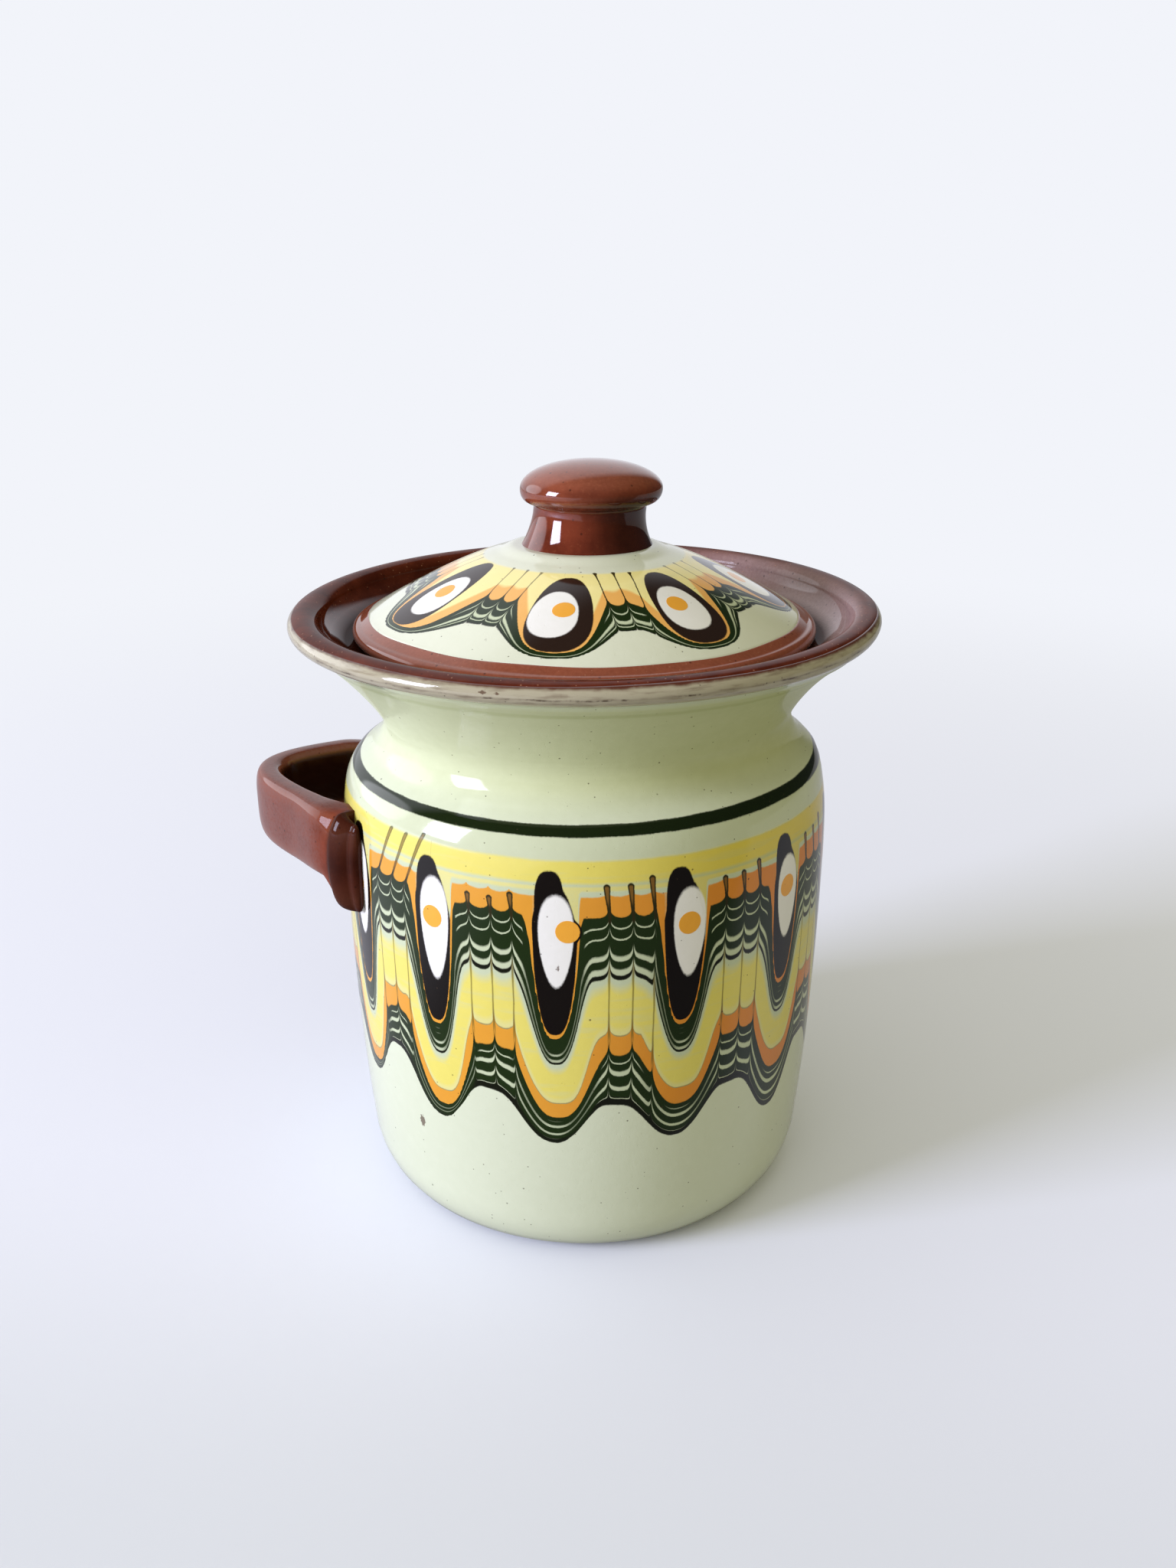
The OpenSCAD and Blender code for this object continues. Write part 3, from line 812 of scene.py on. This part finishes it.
def ring_stops(rings, low, high):
    """Ramp stops for rings listed from the top down as (upper edge, colour, softness): the lowest colour first, then
    a stop on either side of each edge, half of its softness away."""
    rising = rings[::-1]
    stops = [(0.0, SLIP[rising[0][1]])]
    for (edge, under, soft), (_, over, _) in zip(rising, rising[1:]):
        for place, colour in ((edge - soft / 2, under), (edge + soft / 2, over)):
            stops.append(((place - low) / (high - low), SLIP[colour]))
    return stops


POT_HIGH = [
    (80, "ground", 0.1), (77.45, "line", 0.08), (75.6, "thin ground", 0.08), (72.4, "yellow", 0.5), (69.2, "pale", 0.5),
    (68.75, "straw", 0.3), (68.1, "pale", 0.4), (67.25, "orange", 0.2), (64.1, "green", 0.15), (58.05, "pale", 0.35),
    (57.3, "green", 0.15),
]
POT_LOW = [
    (56.3, "green", 0.1), (56.0, "pale", 0.3), (55.1, "black", 0.12), (54.35, "pale", 0.15), (52.8, "yellow", 1.8),
    (46.3, "straw", 0.9), (45.3, "grey", 0.14), (45.1, "orange", 0.12), (42.0, "green", 0.2), (39.2, "pale", 0.25),
    (38.4, "green", 0.15), (36.5, "pale", 0.2), (35.85, "green", 0.15), (34.7, "black", 0.2), (33.3, "ground", 0.15),
]
LID_HIGH = [
    (26, "lid ground", 0.1), (20.0, "lid yellow", 0.5), (15.4, "lid orange", 0.9), (12.15, "green", 0.15),
    (8.85, "pale", 0.2), (8.25, "green", 0.2), (7.15, "black", 0.2), (6.9, "lid ground", 0.15),
]
print("rings", len(POT_HIGH) + len(POT_LOW), "on the pot,", len(LID_HIGH), "on the lid")


# %% What differs between the two coats
# Spans of levels are (low, high, ...). A stroke has a width at its foot, a widening and its power, and an extra height.
# Tints of painted shade for the yellow and orange rings on the side away from the window.
SHADED_YELLOW, SHADED_ORANGE = (0.93, 0.85, 0.5, 1), (0.95, 0.7, 0.7, 1)
POT_COAT = dict(
    rings=[(56.3, 82.3, POT_HIGH), (30.3, 56.3, POT_LOW)],
    fine=[(62.4, 0.13), (60.7, 0.14), (40.58, 0.13), (34.5, 0.06)],
    dark=[(54.4, 64.1, 0.68), (33.3, 42.0, 0.68)],
    soft=[(46, 53), (68, 72)],
    # thick: painted shade, deeper yellow and orange on the right of the pot.
    thick=[(68.1, 72.4, SHADED_YELLOW), (64.1, 67.25, SHADED_ORANGE), (42.0, 45.1, SHADED_ORANGE)],
    comb=(-2.94, 0.41, 3.49), hook=63.8, stroke=(0.22, 0.3, 1.5, 0.9), drop=SLIP["drop"],
)
LID_COAT = dict(
    rings=[(0.0, 28.0, LID_HIGH)],
    fine=[(10.3, 0.15), (7.7, 0.1)],
    dark=[(6.9, 12.15, 0.35)],
    soft=[(16, 20)],
    thick=[],
    comb=(-2.6, 0.0, 2.4), hook=11.9, stroke=(0.09, 0.42, 18.0, -0.3), drop=SLIP["lid drop"],
)
PLAIN = (1, 1, 1, 1)


# %% Paint for the rings
def ring_paint(start, coat, layer, near, pull):
    """Combed rings. near is the distance from the comb's lines, pull how much the comb did there."""
    colour = None
    for low, high, listed in coat["rings"]:
        stops = ring_stops(listed, low, high)
        part = start.node("ShaderNodeValToRGB", {"stops": stops}, {0: (layer - low) / (high - low)})
        colour = part if colour is None else layer.step(high - 0.01, high + 0.01).mix(part, colour)
    streak = start.streaks(1.1, 10).step(0.5, 0.68)
    for low, high in coat["soft"]:
        faint = streak * layer.step(low, low + 1.5) * layer.step(high, high - 1.0)
        colour = (faint * 0.24).mix(colour, SLIP["pale"])
    # Painted shade: on the right of the pot, away from the window, the yellow and orange rings are tinted deeper.
    lean = start.axis(0).step(-0.005, 0.04)
    for low, high, tint in coat["thick"]:
        colour = colour.times((lean * layer.between(low, high)).mix(PLAIN, tint))
    tight = start.value("squeeze")
    for level, half in coat["fine"]:
        thread = abs(layer - level).step(half + 0.05, half - 0.05) * tight.step(2.2, 1.2)
        colour = (thread * 0.85).mix(colour, SLIP["pale"])
    line = near.step(0.12, 0.03) * pull
    for low, high, most in coat["dark"]:
        run_in = (tight.step(1.3, 3.6) * most).most(line)
        colour = (layer.between(low, high) * run_in).mix(colour, SLIP["green"])
    hook = coat["hook"]
    taper = abs(layer - hook + 14.4).step(1, 5.5) * 0.08
    thread = (near - taper).step(0.2, 0.0) * layer.step(hook - 22, hook - 20) * layer.step(hook - 8, hook - 10)
    return (thread * pull * 0.8).mix(colour, paint(112, 98, 40))


# %% Paint for the strokes of the comb
def stroke_paint(start, coat, colour, near, grain):
    """Dark hooks of slip over the comb's lines: wider towards a round top, and paler inside."""
    height, ink, hook = start.value("height"), start.value("ink"), coat["hook"]
    foot, widening, power, extra = coat["stroke"]
    top = start.value("top") + start.value("comb").step(1.6, 2.4) * extra
    rise = ((height - hook) / (top - hook)).most(0).least(1)
    wide = foot + ink * widening * rise**power
    cap = top - near * near * 1.6
    inside = (near - wide + (grain - 0.5) * 0.1).step(0.07, -0.07)
    stroke = inside * height.step(hook - 0.8, hook - 0.2) * (height - cap).step(0.1, -0.15)
    core = (near - wide + 0.2).step(0.07, -0.07) * rise.step(0.3, 0.6) * (cap - height - 0.4).step(-0.15, 0.15)
    hooked = core.mix(paint(44, 40, 16), paint(124, 88, 38))
    return (stroke * (0.4 + 0.6 * ink)).mix(colour, hooked)


# %% Paint for the lip
def lip_paint(start, colour, drift, grain):
    """On the lip: streaky beige, broken dark dashes along the crease, brown clay at the wiped edge, and a few blemishes
    anywhere.
    """
    height, worn = start.value("height"), start.noise(2.4, 3)
    beige = start.streaks(0.5, 7).step(0.45, 0.75).mix(paint(164, 153, 130), paint(128, 112, 92))
    dashes = 0.25 + 0.75 * start.noise(2.2, 4, 0.7).step(0.5, 0.68)
    crease = abs(height - CREASE + (drift - 0.5) * 0.5).step(0.22, 0.04) * dashes
    brown = (height + (worn - 0.5) * 0.8).step(COAT_TO - 0.75, COAT_TO - 0.1)
    mark = (start.value("mark") + (grain - 0.5) * 0.6).step(-0.05, 0.12)
    return layered(
        colour,
        (height.step(LIP_START - 0.1, LIP_START + 1.2) * 0.9, beige),
        (crease * 0.8, paint(58, 38, 28)),
        (brown, paint(88, 48, 35)),
        (mark * 0.8, paint(84, 54, 40)),
    )


# %% The slip material
def slip_material(name, coat):
    """Glazed slip: rings, strokes, drops and lip, then soft tone, painted shade under the flare, pits and relief."""
    material, shader, start = glazed(name, 0.3, 0.08)
    grain, drift, height = start.noise(0.3, 2), start.noise(5, 3), start.value("height")
    away = [abs(start.value("comb") - place + (drift - 0.5) * 0.3) for place in coat["comb"]]
    near, pull = away[0].least(away[1]).least(away[2]), start.value("pull")
    cusp = pull * (1.25 * start.math("EXPONENT", near / -0.5) + 1.3 * start.math("EXPONENT", near / -0.1))
    layer = start.value("layer") - cusp + (grain - 0.5) * 0.16 + (drift - 0.5) * 0.3
    colour = ring_paint(start, coat, layer, near, pull)
    colour = stroke_paint(start, coat, colour, near, grain)

    drop, ragged = start.value("drop"), (grain - 0.5) * 0.1
    pale = (start.value("white") + ragged).step(-0.12, 0.12)
    dot = (start.value("yolk") + ragged * 0.5).step(-0.06, 0.06)
    dark = (drop + ragged).step(-0.07, 0.07)
    colour = layered(colour, (dark, coat["drop"]), (pale, SLIP["white"]), (dot, SLIP["yolk"]))
    colour = lip_paint(start, colour, drift, grain)

    ringed = start.streaks(1.6, 25) * height.step(77, 82)
    cloudy = (ringed * 0.4 + start.noise(1.8, 4, 0.6) * 0.6).step(0.2, 0.8)
    flare = height.step(77, 84) * height.step(LIP_START + 0.5, LIP_START - 2)
    # Painted shade under the flare: the neck is tinted darker and more olive, most on the right, away from the window.
    neck_shade = start.axis(0).step(-0.045, 0.045).mix((0.94, 0.94, 0.84, 1), (0.77, 0.76, 0.5, 1))
    # Painted shadow: a soft darker band just below the lip.
    shadow_band = flare * abs(height - LIP_START + 3.6 + (drift - 0.5) * 0.6).step(0.9, 0.2)
    colour = colour.times(cloudy.mix((0.95, 0.955, 0.93, 1), (1.02, 1.02, 1.02, 1)))
    colour = colour.times(flare.mix(PLAIN, neck_shade)).times(shadow_band.mix(PLAIN, (0.88, 0.89, 0.82, 1)))
    pits = start.specks(2.6, 0.25, 0.22).most(start.specks(0.9, 0.12, 0.14))
    link((pits * 0.75).mix(colour, paint(60, 48, 34)), shader, "Base Color")
    link(1 - 0.65 * flare, shader, "Coat Weight")

    pin = start.specks(0.6, 0.4, 0.12)
    relief = drop.step(-0.1, 0.35) * 0.7 + pale * 0.15 + dot * 0.5 - pits * 0.5 - pin * 0.3
    relief = relief + start.noise(1.6, 2) * 0.5 + start.noise(0.6, 2) * 0.16 + ringed * 0.35
    link(start.node("ShaderNodeBump", inputs={"Distance": 0.00005, "Height": relief}), shader, "Normal")
    print(name, len(material.node_tree.nodes), "nodes")
    return material


pot_slip.data.materials.append(slip_material("pot_slip_glaze", POT_COAT))
lid_slip.data.materials.append(slip_material("lid_slip_glaze", LID_COAT))

# %% [markdown]
# ## Clay under a clear glaze
# The clay fires to a warm red brown. Under the glaze it is never even: fine grains of sand show paler, iron shows
# darker, and on edges the glaze runs thin and the colour turns to rust. One material serves all the clay: the numbers
# that each mesh carries are masks for colours, laid one over the other.

# %% The clay material
def clay_material():
    """Glazed clay: two browns in soft clouds, and a list of what lies over them."""
    material, shader, start = glazed("clay_glaze", 0.32)
    cloud, sand = start.noise(5, 4, 0.6), start.noise(0.5, 3, 0.6)
    grit = start.specks(0.7, 0.4, 0.15) * start.value("sandy")
    colour = layered(
        paint(88, 35, 21),
        (cloud.step(0.3, 0.7), paint(116, 52, 33)),
        (sand.step(0.55, 0.8) * 0.3, paint(150, 84, 54)),
        # edge: rust on edges, and on the knob's cap top it is also painted light.
        (start.value("edge") * (0.4 + 0.6 * sand), paint(152, 88, 64)),
        # Painted sheen on the strap's outer side and top.
        (start.value("painted_sheen") * sand.step(0.2, 0.6), paint(112, 70, 61)),
        # dark: painted shade in the pot's well and on its floor, inside the strap's loop and on one side of the knob's
        # stem; also a darker brown on the lip and on the strap's pressed ends.
        (start.value("dark") * 0.95, paint(22, 10, 7)),
        # Painted reflection on one side of the pot's mouth.
        (start.value("painted_reflection") * (0.5 + 0.6 * sand), paint(172, 146, 144)),
        (start.specks(1.2, 0.3, 0.24) * 0.6, paint(36, 18, 14)),
        (grit * 0.5, paint(190, 140, 110)),
    )
    link(colour, shader, "Base Color")
    link(1 - 0.85 * start.value("matte"), shader, "Coat Weight")
    relief = cloud * 0.9 + start.noise(1.4, 2) * 0.4 + grit * 0.2
    link(start.node("ShaderNodeBump", inputs={"Distance": 0.00008, "Height": relief}), shader, "Normal")
    print("clay_glaze", len(material.node_tree.nodes), "nodes")
    return material


clay = clay_material()
for piece in (pot_clay, strap, lid_clay, knob):
    piece.data.materials.append(clay)

# %% [markdown]
# ## Table, light and camera
# The pot stands on a pale table by a window on its left. One lamp of the window's size gives the main light and
# the sharp highlights, and the world gives the light of a pale room, brighter behind and on the left than in
# front on the right. The glaze mirrors a room of its own: dark, but for a pale wall behind on the left with a bright
# patch beside it. What the camera sees of the table and the background adds no light to the pot.

# %% Floor
floor_mesh = bpy.data.meshes.new("floor")
floor_mesh.from_pydata([(-3, -3, 0), (3, -3, 0), (3, 3, 0), (-3, 3, 0)], [], [(0, 1, 2, 3)])
floor = add_object("floor", floor_mesh)
table, table_shader, start = glazed("table_paint", 0.6)
table_shader.inputs["Coat Weight"].default_value = 0.0
sight, mirror = start.ray("Camera"), start.ray("Glossy")
x, y = start.axis(0), start.axis(1)
# Painted shade on the table: its colour is darker towards the camera.
front_shade = y.step(-0.02, -0.1)
# Painted shade that only the glaze mirrors: a dark patch of table in front of the pot, and a dimmer right side.
reflected_shade = (y.step(0.0, -0.06) * x.step(-0.16, -0.04)).most(0.35 * x.step(0.02, 0.1))
unseen = mirror.mix(paint(184, 184, 186), reflected_shade.mix(paint(216, 217, 230), paint(90, 90, 92)))
link(sight.mix(unseen, front_shade.mix(paint(236, 238, 251), paint(222, 225, 234))), table_shader, "Base Color")
far = start.node("ShaderNodeVectorMath", {"operation": "LENGTH"}, {0: start.place()}, "Value")
fade = far.step(0.1, 0.5) * sight
white = start.node("ShaderNodeEmission", inputs={"Color": paint(242, 244, 250)})
both = start.node("ShaderNodeMixShader", inputs={0: fade, 1: Paint(start.tree, table_shader.outputs[0]), 2: white})
link(both, table.node_tree.nodes["Material Output"], "Surface")
floor_mesh.materials.append(table)
print("floor", *floor.dimensions[:2])

# %% Window and room
def toward(side, rise, far):
    """Point at a distance, by its angle to the right of the camera's side and its angle above the table."""
    flat, high = unit(rise)
    return far * np.append(flat * unit(side + FACING), high)


window = bpy.data.lights.new("window", "AREA")
window.shape, window.size, window.size_y, window.energy = "RECTANGLE", 0.66, 0.9, 43.0
window.color = (0.95, 0.98, 1.26)
lamp = add_object("window", window)
lamp.location = toward(-67, 16, 2.0) + [0, 0, 0.07]
lamp.rotation_euler = (Vector((0, 0, 0.07)) - lamp.location).to_track_quat("-Z", "Y").to_euler()
print("window", window.size, "by", window.size_y, "m,", window.energy, "W")

world = bpy.data.worlds.new("room")
bpy.context.scene.world = world
world.use_nodes = True
room = Paint(world.node_tree)
facing = room.node("ShaderNodeTexCoord", out="Generated")


def lit_from(side, rise, low, high):
    """1 in the directions round one side of the room, 0 in the others."""
    aim = tuple(toward(side, rise, 1.0))
    return room.node("ShaderNodeVectorMath", {"operation": "DOT_PRODUCT"}, {0: facing, 1: aim}, "Value").step(low, high)


right = lit_from(80, -5, -0.1, 0.7)
level = 0.46 + 0.36 * lit_from(-30, 50, -0.5, 1.0) - 0.15 * right
mirrored = 0.04 + 1.0 * lit_from(-150, 10, 0.5, 0.72) + 2.0 * lit_from(-112, 14, 0.93, 0.955)
warm = right.mix((1, 0.99, 0.9, 1), (1, 0.95, 0.54, 1))
reflected = (mirrored / 3).mix((0, 0, 0, 1), (2.88, 2.94, 3.18, 1))
shine = room.ray("Glossy").mix(level.mix((0, 0, 0, 1), warm), reflected)
link(room.ray("Camera").mix(shine, paint(242, 244, 250)), world.node_tree.nodes["Background"], "Color")

# %% Camera
camera_data = bpy.data.cameras.new("camera")
FOCAL_PX, FRAME_PX, DOWN = 1700, 2048, 21.091
camera_data.sensor_fit, camera_data.sensor_width = "AUTO", 36.0
camera_data.lens = camera_data.sensor_width * FOCAL_PX / FRAME_PX
camera_data.clip_start = 0.01
camera = add_object("camera", camera_data)
camera.location = (0.03486, -0.19441, 0.14133)
camera.rotation_euler = np.radians([90 - DOWN, 0.0, 90 + FACING])
bpy.context.scene.camera = camera
bpy.context.scene.view_settings.view_transform = "Standard"
print("camera", round(camera_data.lens, 1), "mm,", DOWN, "degrees down")
